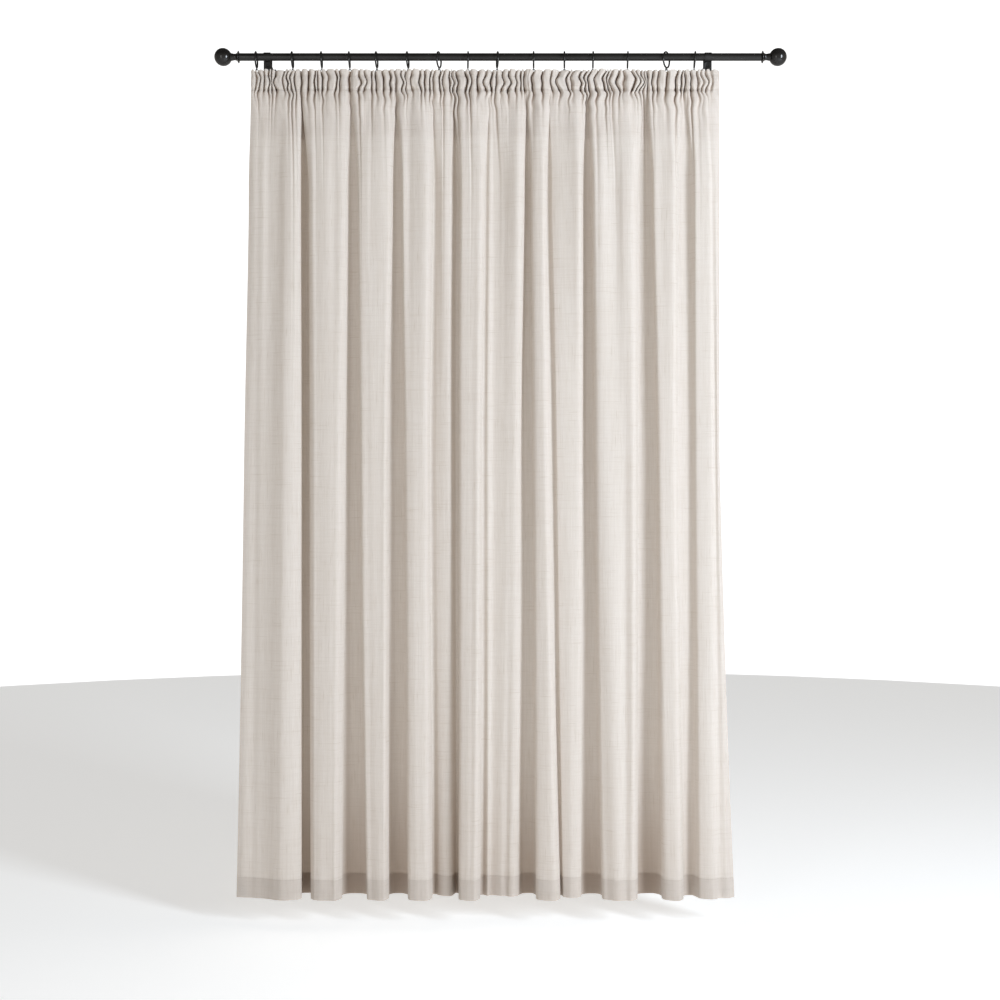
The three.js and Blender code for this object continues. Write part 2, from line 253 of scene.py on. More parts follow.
bracket_paint = black_metal("bracket coating", 0.42, 3.0)
for side, x in BRACKETS:
    bracket = bmesh.new()
    add_block(bracket, (x - STRAP_HALF, -0.004, ARM_Z - 0.072), (x + STRAP_HALF, 0, ARM_Z + 0.008))
    plate = finished(
        f"wall_bracket_{side}_looks", bracket, bracket_paint, "root", "black_metal",
        f"wall_bracket_{side}",
    )
    arm = bmesh.new()
    add_block(
        arm,
        (x - ARM_HALF, STEM_BACK + SEAT, ARM_Z - ARM_HALF),
        (x + ARM_HALF, -0.002, ARM_Z + ARM_HALF),
    )
    combine(plate, arm, "UNION")
    holes = bmesh.new()
    add_rod(holes, 0.0025, STEM_BACK - 0.001, STEM_BACK + 0.0203, x, ARM_Z)
    for below in (0.020, 0.062):
        add_rod(holes, 0.00275, -0.006, 0.001, x, ARM_Z - below)
    combine(plate, holes, "DIFFERENCE")
    ease_edges(plate, 0.0006)


# ---- Pole collars and their screws
# A pressed steel collar round the pole, with a flat stem that goes down behind the heading and a
# counterbored hole for the cross-slotted machine screw that draws it on to the bracket's arm.

collar_paint = black_metal("collar coating", 0.4, 5.0)
screw_paint = black_metal("screw blacking", 0.3, 7.0, rub=0.02, rub_scale=900)
COLLAR_INNER, COLLAR_OUTER, COLLAR_HALF = 0.0113, 0.013, 0.010


def add_turned(shape, profile, steps=64):
    """A profile of points along the pole and out from its axis, spun once round that axis."""
    verts = [shape.verts.new((x, POLE_Y, r)) for x, r in profile]
    edges = [shape.edges.new(pair) for pair in zip(verts, verts[1:])]
    bmesh.ops.spin(
        shape, geom=verts + edges, cent=(0, POLE_Y, 0), axis=(1, 0, 0), angle=2 * math.pi,
        steps=steps, use_merge=True,
    )
    bmesh.ops.remove_doubles(shape, verts=shape.verts, dist=1e-6)
    bmesh.ops.recalc_face_normals(shape, faces=shape.faces)


for side, x in BRACKETS:
    stem = bmesh.new()
    add_block(stem, (x - STRAP_HALF, STEM_FRONT, -0.045), (x + STRAP_HALF, STEM_BACK, 0.0055))
    lower_corners = [
        e for e in stem.edges
        if abs(e.verts[0].co.y - e.verts[1].co.y) > 0.002 and e.verts[0].co.z < -0.04
    ]
    bmesh.ops.bevel(
        stem, geom=lower_corners, offset=0.003, segments=4, profile=0.5, affect="EDGES", material=-1
    )
    collar = finished(
        f"pole_collar_{side}_looks", stem, collar_paint, "root", "black_metal", f"pole_collar_{side}"
    )
    band = bmesh.new()
    add_turned(
        band,
        [
            (x - COLLAR_HALF, COLLAR_INNER),
            (x - COLLAR_HALF, COLLAR_OUTER),
            (x + COLLAR_HALF, COLLAR_OUTER),
            (x + COLLAR_HALF, COLLAR_INNER),
            (x - COLLAR_HALF, COLLAR_INNER),
        ],
    )
    combine(collar, band, "UNION")
    holes = bmesh.new()
    add_turned(
        holes,
        [(x - 0.012, 0), (x - 0.012, COLLAR_INNER), (x + 0.012, COLLAR_INNER), (x + 0.012, 0)],
    )
    add_rod(holes, 0.0043, STEM_FRONT - 0.001, STEM_FRONT + 0.0021, x, ARM_Z)
    add_rod(holes, 0.0025, STEM_FRONT, STEM_BACK + 0.001, x, ARM_Z)
    combine(collar, holes, "DIFFERENCE")
    ease_edges(collar, 0.0004)

    screw = bmesh.new()
    add_rod(screw, 0.004, STEM_FRONT + 0.0003, STEM_FRONT + 0.0018, x, ARM_Z)
    head = finished(
        f"collar_screw_{side}_looks", screw, screw_paint, "root", "black_metal", f"collar_screw_{side}"
    )
    shank = bmesh.new()
    add_rod(shank, 0.0022, STEM_FRONT + 0.0013, STEM_FRONT + 0.0203, x, ARM_Z, sides=24)
    combine(head, shank, "UNION")
    for half_wide, half_high in ((0.0026, 0.0005), (0.0005, 0.0026)):  # the cross slot
        slot = bmesh.new()
        add_block(
            slot,
            (x - half_wide, STEM_FRONT - 0.0005, ARM_Z - half_high),
            (x + half_wide, STEM_FRONT + 0.0011, ARM_Z + half_high),
        )
        combine(head, slot, "DIFFERENCE")


# ---- Pole and finials
# A drawn steel tube with open ends, and turned ball ends: a spigot pushed into the tube, a thin
# flared flange, a waisted neck and a ball. Same coating, slightly glossier where it is handled.

pole_paint = black_metal("pole coating", 0.30, 11.0, rub=0.002, rub_scale=14)
finial_paint = black_metal("finial coating", 0.16, 13.0, rub=0.001, rub_scale=40)
HALF_POLE = 0.77

pole = bmesh.new()
add_turned(
    pole,
    [
        (-HALF_POLE, 0.0095), (-HALF_POLE, 0.0107), (-HALF_POLE + 0.0003, POLE_RADIUS),
        (HALF_POLE - 0.0003, POLE_RADIUS), (HALF_POLE, 0.0107), (HALF_POLE, 0.0095),
        (-HALF_POLE, 0.0095),
    ],
)
finished("pole_tube_looks", pole, pole_paint, "root", "black_metal", "pole_tube")

BALL_CENTRE, BALL_RADIUS = 0.0488, 0.0258
finial_profile = [
    (-0.025, 0), (-0.025, 0.0082), (-0.024, 0.0092), (0.0003, 0.0092), (0.0003, 0.0118),
    (0.0008, 0.0133), (0.0016, 0.0155), (0.0022, 0.0170), (0.0027, 0.0179), (0.0032, 0.0182),
    (0.0037, 0.0181), (0.0043, 0.0168), (0.0050, 0.0150), (0.0064, 0.0129), (0.0080, 0.0114),
    (0.0100, 0.0102), (0.0125, 0.0095), (0.0155, 0.0094), (0.0180, 0.0098), (0.0212, 0.0106),
]
ball_start = math.asin(0.0113 / BALL_RADIUS)
for step in range(29):
    angle = ball_start + (math.pi - ball_start) * step / 28
    radius = BALL_RADIUS * math.sin(angle) if step < 28 else 0
    finial_profile.append((BALL_CENTRE - BALL_RADIUS * math.cos(angle), radius))
for side, sign in (("left", -1), ("right", 1)):
    finial = bmesh.new()
    add_turned(finial, [(sign * (HALF_POLE + x), r) for x, r in finial_profile], steps=72)
    finished(
        f"finial_{side}_looks", finial, finial_paint, "root", "black_metal", f"finial_{side}",
        smooth_angle=40,
    )


# ---- Rings
# Fifteen rings of 5 mm wire, welded closed, each with a small eye of thinner wire at the bottom.
# They hang loose on the pole, so each is turned and leans by its own small amount.

EYE_Z, EYE_RADIUS, EYE_WIRE = -0.0358, 0.0034, 0.0011
RING_Z, RING_MIDDLE, RING_WIRE = -0.0085, 0.0225, 0.0025
RINGS = [  # where along the pole, its turn and its lean in degrees
    (-0.7200, 1, -2), (-0.6130, 1, -3), (-0.5275, 2, -2), (-0.4448, 2, -3), (-0.3650, -4, -2),
    (-0.2727, -5, -3), (-0.1818, -14, 0), (-0.0964, 1, 1), (-0.0097, 6, 1), (0.0977, -1, 0),
    (0.1886, -2, 0), (0.2726, -3, 1), (0.3745, -5, 2), (0.4888, -30, 2), (0.5714, -5, 4),
]
ring_paint = black_metal("ring coating", 0.24, 17.0, rub=0.003, rub_scale=220)
for number, (x, turn, lean) in enumerate(RINGS, 1):
    ring = bmesh.new()
    for middle, wire, height, steps, sides in (
        (RING_MIDDLE, RING_WIRE, RING_Z - EYE_Z, 56, 14), (EYE_RADIUS, EYE_WIRE, 0, 24, 10)
    ):
        section = bmesh.ops.create_circle(ring, segments=sides, radius=wire)["verts"]
        bmesh.ops.rotate(
            ring, verts=section, cent=(0, 0, 0), matrix=Matrix.Rotation(math.pi / 2, 3, "X")
        )
        bmesh.ops.translate(ring, verts=section, vec=(0, 0, height + middle))
        edges = list({e for v in section for e in v.link_edges})
        bmesh.ops.spin(
            ring, geom=section + edges, cent=(0, 0, height), axis=(1, 0, 0), angle=2 * math.pi,
            steps=steps, use_merge=True,
        )
        bmesh.ops.remove_doubles(ring, verts=ring.verts, dist=1e-6)
    bmesh.ops.recalc_face_normals(ring, faces=ring.faces)
    turned = Matrix.Rotation(math.radians(turn), 3, "Z") @ Matrix.Rotation(math.radians(lean), 3, "Y")
    bmesh.ops.rotate(ring, verts=ring.verts, cent=(0, 0, 0), matrix=turned)
    bmesh.ops.translate(ring, verts=ring.verts, vec=(x, POLE_Y, EYE_Z))
    name = f"ring_{number:02}"
    finished(f"{name}_looks", ring, ring_paint, name, "black_metal", name)


# ---- Hooks
# A hairpin of 2.2 mm wire through each ring's eye. Its two legs bend back over the top of the
# heading and go down into pockets of the tape.

hook_paint = black_metal("hook wire", 0.3, 19.0, rub=0.003, rub_scale=300)
HOOK_WIRE = 0.0011  # radius
HOOK_LEG = [  # out from the middle, behind the pole's axis, height, share of the ring's turn
    (0.0021, 0.0003, -0.0368, 1), (0.0032, 0.0034, -0.0371, 1), (0.0040, 0.00775, -0.0380, 0.4),
    (0.0048, 0.01095, -0.0420, 0.15), (0.0056, 0.01315, -0.0490, 0), (0.0070, 0.01375, -0.0590, 0),
    (0.0070, 0.01375, -0.0770, 0),
]
for number, (x, turn, _) in enumerate(RINGS, 1):
    path = []
    for side in (-1, 1):
        leg = []
        for out, back, z, share in HOOK_LEG:
            point = Vector((side * out, back, 0))
            point.rotate(Matrix.Rotation(math.radians(turn) * share, 3, "Z"))
            leg.append((x + point.x, POLE_Y + point.y, z))
        path = leg[::-1] + [(x, POLE_Y, -0.0367)] if side < 0 else path + leg
    line = bpy.data.curves.new(f"hook_{number:02}_looks", "CURVE")
    line.dimensions = "3D"
    line.bevel_depth = HOOK_WIRE
    line.bevel_resolution = 3
    line.use_fill_caps = True
    line.resolution_u = 4
    spline = line.splines.new("NURBS")
    spline.points.add(len(path) - 1)
    for point, place in zip(spline.points, path):
        point.co = (*place, 1)
    spline.order_u = 3
    spline.use_endpoint_u = True
    line.materials.append(hook_paint)
    hook = bpy.data.objects.new(f"hook_{number:02}_looks", line)
    bpy.context.collection.objects.link(hook)
    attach(hook, f"ring_{number:02}")
    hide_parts(f"hook_{number:02}")


# ---- Curtain cloth
# Two loom widths of slubbed linen look cloth seamed at the middle, gathered by the heading tape to
# about three fifths of its flat width, and hung in soft folds that fan out towards the hem.

HEADING_TOP, DROP = -0.041, 2.438
UPPER_CORD, LOWER_CORD = 0.016, 0.058  # below the heading's top
PINCH_REACH = 0.006  # how far above and below a cord its pull is seen
LEVELS = (0.05, 0.41, 1.16, DROP)  # where the next table's four places across are taken
# Each row is one thread's place across at the four levels, and its depth towards the room from
# the pole's line at the upper level and from the middle down. All in millimetres.
THREADS = np.array([
    (-734, -743, -757, -779, 2, 2), (-722, -727, -738, -757, 7, 7), (-708, -714, -722, -735, 8, 10),
    (-692, -699, -708, -717, 13, 15), (-676, -685, -690, -699, 13, 18),
    (-661, -668, -672, -680, 18, 23), (-645, -650, -652, -660, 23, 32),
    (-629, -630, -632, -640, 33, 40), (-610, -603, -607, -611, 35, 37),
    (-598, -588, -586, -584, 17, 20), (-595, -591, -592, -592, -12, -14),
    (-589, -583, -582, -580, -34, -38), (-583, -575, -571, -569, -36, -39),
    (-577, -563, -560, -556, -14, -14), (-574, -564, -562, -558, 14, 14),
    (-560, -553, -549, -548, 31, 32), (-546, -540, -537, -538, 31, 36),
    (-526, -521, -522, -524, 35, 40), (-506, -506, -508, -505, 37, 41),
    (-488, -488, -491, -494, 34, 41), (-470, -466, -472, -481, 35, 40),
    (-456, -450, -455, -466, 14, 16), (-453, -452, -459, -470, -5, -7),
    (-447, -446, -449, -457, -13, -18), (-440, -436, -432, -430, -14, -20),
    (-433, -427, -419, -405, -13, -18), (-428, -417, -409, -391, -6, -7),
    (-426, -419, -412, -393, 12, 12), (-420, -414, -406, -389, 29, 30),
    (-393, -393, -386, -375, 34, 37), (-379, -380, -371, -362, 33, 41),
    (-352, -348, -350, -350, 37, 40), (-335, -328, -336, -339, 34, 38),
    (-321, -317, -327, -329, 12, 14), (-320, -321, -331, -334, -5, -7),
    (-314, -313, -322, -323, -13, -18), (-307, -304, -303, -303, -14, -20),
    (-301, -296, -290, -286, -13, -18), (-296, -288, -278, -272, -6, -7),
    (-294, -290, -280, -274, 12, 12), (-290, -285, -276, -270, 29, 30),
    (-268, -268, -261, -256, 30, 37), (-252, -250, -244, -241, 36, 41),
    (-228, -216, -217, -215, 39, 42), (-212, -199, -207, -202, 13, 15),
    (-209, -203, -212, -207, -4, -7), (-203, -195, -203, -198, -11, -17),
    (-191, -184, -188, -186, -4, -10), (-170, -165, -165, -165, 4, -4),
    (-148, -145, -146, -146, -2, -5), (-133, -129, -131, -134, -22, -24),
    (-124, -117, -120, -124, -9, -11), (-122, -119, -122, -126, 12, 12),
    (-118, -114, -116, -122, 30, 31), (-97, -94, -98, -104, 34, 39), (-82, -77, -83, -90, 37, 41),
    (-64, -58, -66, -75, 38, 42), (-47, -46, -56, -61, 16, 18), (-46, -50, -60, -65, -5, -5),
    (-40, -42, -50, -54, -9, -13), (-29, -32, -38, -40, -3, -5), (-14, -18, -22, -28, -5, -10),
    (8, 4, 2, -2, 3, -5), (28, 27, 22, 15, 15, -3), (50, 52, 43, 31, 25, 1), (66, 71, 58, 52, 8, -7),
    (66, 68, 60, 57, -7, -14), (72, 74, 68, 66, -14, -20), (78, 80, 80, 85, -15, -22),
    (86, 88, 91, 98, -13, -20), (89, 91, 96, 106, -6, -7), (88, 90, 94, 104, 12, 12),
    (92, 94, 99, 109, 28, 30), (109, 113, 117, 134, 36, 41), (124, 127, 132, 160, 38, 42),
    (138, 138, 146, 177, 15, 18), (138, 136, 145, 174, -2, -5), (143, 142, 152, 180, -4, -10),
    (151, 151, 162, 185, 7, -4), (155, 155, 165, 186, 9, 4), (184, 187, 194, 204, 23, 12),
    (205, 208, 212, 216, 31, 13), (227, 231, 229, 227, 36, 10), (243, 244, 241, 240, 11, -2),
    (241, 240, 237, 237, -5, -7), (247, 247, 246, 250, -13, -18), (253, 256, 259, 270, -15, -20),
    (261, 264, 271, 292, -13, -18), (268, 272, 278, 302, -5, -7), (266, 270, 276, 300, 12, 12),
    (272, 276, 281, 305, 29, 30), (297, 303, 300, 322, 34, 35), (330, 341, 346, 350, 30, 41),
    (356, 362, 367, 368, 35, 41), (382, 389, 390, 388, 38, 42), (403, 405, 404, 404, 15, 17),
    (400, 399, 400, 401, -5, -7), (408, 409, 410, 413, -13, -18), (420, 424, 430, 440, -14, -20),
    (435, 440, 448, 461, -13, -18), (442, 450, 464, 477, -6, -7), (441, 448, 462, 475, 12, 12),
    (446, 453, 466, 480, 29, 30), (472, 475, 482, 497, 31, 39), (500, 508, 509, 524, 37, 42),
    (520, 522, 522, 538, 14, 18), (519, 520, 521, 536, -1, 1), (527, 528, 529, 543, -6, -7),
    (545, 545, 548, 556, -9, -10), (562, 561, 564, 572, -5, -7), (568, 568, 571, 580, 9, 7),
    (574, 576, 581, 589, 24, 20), (598, 611, 619, 624, 28, 27), (610, 623, 631, 646, 18, 14),
    (625, 635, 640, 669, 16, 17), (643, 645, 646, 690, 6, 4),
], float) / 1000


def curve_weights(count, places):
    """Weights of each control row for a smooth curve through them, at places from 0 to count - 1."""
    weights = np.zeros((len(places), count))
    start = np.clip(np.floor(places).astype(int), 0, count - 2)
    t = places - start
    rows = np.arange(len(places))
    for shift, part in (
        (-1, -0.5 * t + t**2 - 0.5 * t**3),
        (0, 1 - 2.5 * t**2 + 1.5 * t**3),
        (1, 0.5 * t + 2 * t**2 - 1.5 * t**3),
        (2, -0.5 * t**2 + 0.5 * t**3),
    ):
        np.add.at(weights, (rows, np.clip(start + shift, 0, count - 1)), part)
    return weights


def rounded(values, passes):
    """Evens out a curve along its threads, leaving its two ends where they are."""
    for _ in range(passes):
        values[1:-1] = 0.25 * values[:-2] + 0.5 * values[1:-1] + 0.25 * values[2:]
    return values


def step_up(value, low, high):
    t = np.clip((value - low) / (high - low), 0, 1)
    return t * t * (3 - 2 * t)


# Each valley starts narrow under the heading and opens out further down.
deep_rows = THREADS[:, 4] < 0
start = 0
while start < len(THREADS):
    if not deep_rows[start]:
        start += 1
        continue
    stop = start
    while stop < len(THREADS) and deep_rows[stop]:
        stop += 1
    valley = slice(max(start - 1, 0), min(stop + 1, len(THREADS)))
    middle = THREADS[valley, 0].mean()
    THREADS[valley, 0] = middle + 0.5 * (THREADS[valley, 0] - middle)
    start = stop

# Threads are spread so that there are enough in each pleat of the heading and each fold below it.
fine = np.linspace(0, len(THREADS) - 1, 12000)
fine_weights = curve_weights(len(THREADS), fine)
fine_head = fine_weights @ THREADS[:, 0]
fine_mid = fine_weights @ THREADS[:, 2]
fine_depth = fine_weights @ THREADS[:, 5]
stride = np.hypot(np.diff(fine_mid), np.diff(fine_depth))
spread = np.concatenate([[0], np.cumsum(2.2 * np.abs(np.diff(fine_head)) + 0.6 * stride)])
flat_width = np.concatenate([[0], np.cumsum(stride)])
COLUMNS = 2320
places = np.interp(np.linspace(0, spread[-1], COLUMNS + 1), spread, fine)
column_weights = curve_weights(len(THREADS), places)
across = column_weights @ THREADS  # each column's place at the four levels, and its two depths
across_cloth = np.interp(places, fine, flat_width)  # metres of cloth from the left edge

below_top = np.concatenate([
    np.linspace(0, 0.07, 27), np.linspace(0.076, 0.2, 15), np.linspace(0.22, 0.5, 11),
    np.linspace(0.55, 2.36, 26), np.linspace(2.377, DROP, 5),
])
ROWS = len(below_top)

# The pencil pleats: about eighty puffs with a slit between each two. Every slit has its own
# depth, its own wander down the tape, and its own reach down the cloth below it.
dice = np.random.default_rng(20260411)
HEADING_LEFT, HEADING_RIGHT = -0.734, 0.643
slits = [HEADING_LEFT]
while slits[-1] < HEADING_RIGHT:
    pleat = dice.choice([0.0095, 0.0125, 0.016, 0.021, 0.028])
    slits.append(slits[-1] + pleat * dice.uniform(0.9, 1.1))
slits = np.array(slits)
slits = HEADING_LEFT + (slits - slits[0]) * 1.377 / (slits[-1] - slits[0])
slit_count = len(slits)
head = np.sort(across[:, 0])
puff = np.clip(np.searchsorted(slits, head, side="right") - 1, 0, slit_count - 2)
in_puff = 2 * (head - slits[puff]) / (slits[puff + 1] - slits[puff]) - 1
half_puff = (slits[puff + 1] - slits[puff]) / 2
slit_depth = dice.uniform(0.012, 0.024, slit_count)
slit_depth[:3] *= (0.2, 0.5, 0.8)
slit_depth[-5:] *= (0.9, 0.6, 0.6, 0.35, 0.1)
slit_reach = dice.choice(
    [0.012, 0.022, 0.045, 0.10, 0.22], slit_count, p=[0.12, 0.20, 0.26, 0.24, 0.18]
) * dice.uniform(0.8, 1.2, slit_count)
slit_sway = dice.uniform(-1, 1, (slit_count, 4))
slit_sway[1:-1] = 1.4 * (0.5 * slit_sway[1:-1] + 0.25 * slit_sway[:-2] + 0.25 * slit_sway[2:])
slit_sway[[0, -1]] = 0
puff_round = dice.uniform(1.25, 2.4, slit_count)
puff_top = dice.uniform(-1, 1, (slit_count, 2))
slit_pinch = dice.uniform(0.1, 1, (slit_count, 2)) * (0.5, 1)
ring_places = np.array([x for x, _, _ in RINGS])
creases = [
    (dice.uniform(190, 460), dice.uniform(-130, 130), dice.uniform(0, 6.28), dice.uniform(0.3, 1))
    for _ in range(12)
]
# Soft dents that start between the pleats and spread as they fade down the folds.
dent_dice = np.random.default_rng(77)
dents = [
    (x + dent_dice.uniform(-0.025, 0.025), dent_dice.uniform(0.08, 0.2),
     dent_dice.uniform(0.003, 0.0085))
    for x in np.linspace(-0.70, 0.61, 17)
]
DARKEST_PAINTED_SHADE = 0.92  # share of the painted shade, a dark brown tint, in the deepest slit


def at_slits(values):
    """A value of each slit, taken evenly from one slit to the next."""
    return np.interp(head, slits, values)


def cloth_rows():
    """The hung cloth as rows of points: x, depth, z, and the painted shade of each point's fold."""
    x = np.zeros((ROWS, COLUMNS + 1))
    depth = np.zeros_like(x)
    z = np.zeros_like(x)
    shade = np.zeros_like(x)
    phase = np.linspace(0, 1, COLUMNS + 1)
    ends = np.clip(np.minimum(phase, 1 - phase) / 0.012, 0, 1)
    drift = [
        (dice.uniform(0.8, 2.6), dice.uniform(0, 6.28), dice.uniform(18, 75), dice.uniform(0, 6.28),
         dice.uniform(0.5, 2.2))
        for _ in range(26)
    ]
    for row, s in enumerate(below_top):
        share = step_up(s, 0.045, 0.36)
        if s <= LEVELS[1]:
            wide = (1 - share) * across[:, 0] + share * across[:, 1]
        elif s <= LEVELS[2]:
            t = (s - LEVELS[1]) / (LEVELS[2] - LEVELS[1])
            t = 0.65 * t + 0.35 * t * t * (3 - 2 * t)
            wide = (1 - t) * across[:, 1] + t * across[:, 2]
        else:
            t = (s - LEVELS[2]) / (LEVELS[3] - LEVELS[2])
            t = 0.72 * t + 0.28 * t * t
            wide = (1 - t) * across[:, 2] + t * across[:, 3]
        deep_share = step_up(s, 0.30, 1.0)
        at_hem = step_up(s, 1.5, DROP)
        deep = (1 - deep_share) * across[:, 4] + deep_share * across[:, 5]
        grown = 0.10 + 0.42 * step_up(s, 0.05, 0.11) + 0.48 * step_up(s, 0.09, 0.33)
        deep = deep * grown + 0.004 * (1 - share)
        deep = np.where(deep < 0, np.maximum(deep * (1 + 0.9 * at_hem), -0.041), deep)
        deep = np.where(deep > 0, deep * (0.78 + 0.22 * step_up(s, 0.9, 2.3)), deep)
        # at the heading no thread goes back past its neighbour, as the tape holds each in place
        held = np.sort(wide)
        folded = step_up(s, 0.05, 0.16)
        wide = (1 - folded) * held + folded * wide
        deep = rounded(deep, 5 + int(7 * share))
        wide = rounded(wide, 4)

        # pencil pleats, pinched at the two cords and puffed out between them
        pinch = math.exp(-(((s - UPPER_CORD) / PINCH_REACH) ** 2)) * at_slits(slit_pinch[:, 0])
        pinch = pinch + math.exp(-(((s - LOWER_CORD) / PINCH_REACH) ** 2)) * at_slits(slit_pinch[:, 1])
        below_cord = max(s - LOWER_CORD, 0)
        fade = np.exp(-below_cord / at_slits(slit_reach))
        power = 1.3 + (at_slits(puff_round) - 1.3) * (1 - 0.8 * pinch) * math.exp(-below_cord / 0.06)
        groove = 0.5 - 0.5 * np.cos(math.pi * np.abs(in_puff) ** power)
        size = at_slits(slit_depth) * fade * (0.8 + 0.3 * pinch)
        size = size * (0.42 + 0.58 * math.exp(-below_cord / 0.02))
        size *= 0.6 + 0.4 * min(1, s / UPPER_CORD)
        wave = 1.7 * s / LOWER_CORD
        lean = at_slits(
            slit_sway[:, 0] * math.sin(1.9 * wave) + slit_sway[:, 1] * math.sin(3.6 * wave + 1)
            + 0.6 * slit_sway[:, 2] * math.cos(5.5 * wave)
        )
        lean *= 0.0054 * ends * (0.4 + 0.6 * (1 - pinch)) * np.exp(-np.maximum(s - 0.065, 0) / 0.04)
        bulge = 0.12 * half_puff * ends * (1 - 0.75 * pinch) * np.sin(math.pi * in_puff)
        bulge = bulge * np.minimum(size / 0.012, 1)
        crinkle = sum(
            big * np.sin(rate * head + down_rate * s + start) for rate, down_rate, start, big in creases
        )
        crinkle = crinkle * 0.00038 * math.exp(-below_cord / 0.05)
        slope = np.gradient(deep) / np.maximum(np.hypot(np.gradient(wide), np.gradient(deep)), 1e-9)
        slope *= step_up(s, 0.06, 0.15)
        upright = np.sqrt(np.maximum(1 - slope**2, 0.05))
        proud = 0.0115 * (1 - 0.3 * pinch) * math.exp(-below_cord / 0.08) - size * groove
        proud = proud + crinkle
        proud = proud + 0.005 * at_slits(puff_top[:, 0]) * math.exp(-s / 0.012)
        deep = deep + proud * upright
        wide = wide + lean + bulge - proud * slope
        wide = (1 - folded) * np.maximum.accumulate(wide) + folded * wide

        # slow ripples of the hanging cloth, each running a good way down it
        ripple = np.zeros_like(phase)
        for count, start, across_rate, shift, down_rate in drift:
            ripple += math.sin(down_rate * s + start) * np.sin(across_rate * 6.28 * phase / 3 + shift)
        ripple *= 0.0006 * step_up(s, 0.09, 0.4)
        dented = sum(
            big
            * np.exp(-(((wide - place) / (0.006 + 0.11 * below_cord)) ** 2) - (below_cord / reach) ** 2)
            for place, reach, big in dents
        )
        deep = deep + ripple - dented * step_up(s, 0.068, 0.12) * step_up(deep, 0.006, 0.02)
        wander = 0.0022 * step_up(s, 0.3, 0.9) * np.sin(1.7 * s + 9 * phase) * np.sin(3.14 * phase)
        x[row] = wide + wander
        depth[row] = deep
        # painted shade: the heading's slits, the fold valleys (far more near the hem) and the last of
        # the cloth above the hem get a dark brown tint where they would lie in shade
        slit_painted_shade = step_up(groove, 0.45, 0.95) * np.minimum(at_slits(slit_depth) / 0.018, 1.1)
        slit_painted_shade = slit_painted_shade * np.exp(-below_cord / (0.35 * at_slits(slit_reach) + 0.012))
        valley_painted_shade = step_up(-deep, -0.004, 0.045) * step_up(s, 0.08, 0.5)
        painted_shade_sum = DARKEST_PAINTED_SHADE * slit_painted_shade + valley_painted_shade * (0.03 + 0.6 * at_hem**4) + 0.07 * at_hem**8
        shade[row] = np.clip(painted_shade_sum, 0, DARKEST_PAINTED_SHADE)
        frill = 0.0030 * (0.4 - groove) + 0.0022 * at_slits(puff_top[:, 1]) * (1 - groove)
        under_rings = np.exp(-(((wide[:, None] - ring_places) / 0.008) ** 2)).sum(axis=1)
        rise = (frill - 0.0012 - 0.0022 * under_rings) * math.exp(-s / 0.012)
        z[row] = HEADING_TOP - s + rise
    return x, depth, z, shade


cloth_x, cloth_depth, cloth_z, cloth_painted_shade = cloth_rows()
cloth_y = POLE_Y - cloth_depth
# nothing at the heading goes further back than the tape
at_tape = np.maximum(0, 1 - np.maximum(below_top - 0.075, 0) / 0.04)[:, None]
TAPE_FACE, EASE = -0.0822, 0.0015
over = (cloth_y - TAPE_FACE) / EASE
capped = TAPE_FACE - EASE * np.log1p(np.exp(-np.clip(over, -30, 30)))
cloth_y = at_tape * capped + (1 - at_tape) * cloth_y


def surface(name, x, y, z, u, v, paint, shade=None):
    """An open sheet from a grid of points, with metres of cloth as its map."""
    rows, columns = x.shape
    data = bpy.data.meshes.new(name)
    points = np.stack([x, y, z], axis=-1).reshape(-1, 3)
    corner = (np.arange(rows - 1)[:, None] * columns + np.arange(columns - 1)[None, :]).ravel()
    faces = np.stack([corner, corner + columns, corner + columns + 1, corner + 1], axis=-1)
    data.vertices.add(len(points))
    data.vertices.foreach_set("co", points.ravel())
    data.loops.add(faces.size)
    data.loops.foreach_set("vertex_index", faces.ravel())
    data.polygons.add(len(faces))
    data.polygons.foreach_set("loop_start", np.arange(0, faces.size, 4))
    data.update(calc_edges=True)
    cloth_map = data.uv_layers.new(name="cloth")
    flat = np.stack([np.broadcast_to(u, x.shape), np.broadcast_to(v, x.shape)], axis=-1)
    flat = flat.reshape(-1, 2)
    cloth_map.uv.foreach_set("vector", flat[faces.ravel()].ravel().astype(np.float32))
    # the cloth's painted shade goes on the mesh as a per-point attribute
    if shade is not None:
        data.attributes.new("painted_fold_shade", "FLOAT", "POINT").data.foreach_set("value", shade.ravel())
    data.shade_smooth()
    data.materials.append(paint)
    made = bpy.data.objects.new(name, data)
    bpy.context.collection.objects.link(made)
    return made


THREAD_GAP, STITCH_GAP = 0.00085, 0.0036
HEM, SIDE_HEM, TOP_TURNING = 0.060, 0.013, 0.216


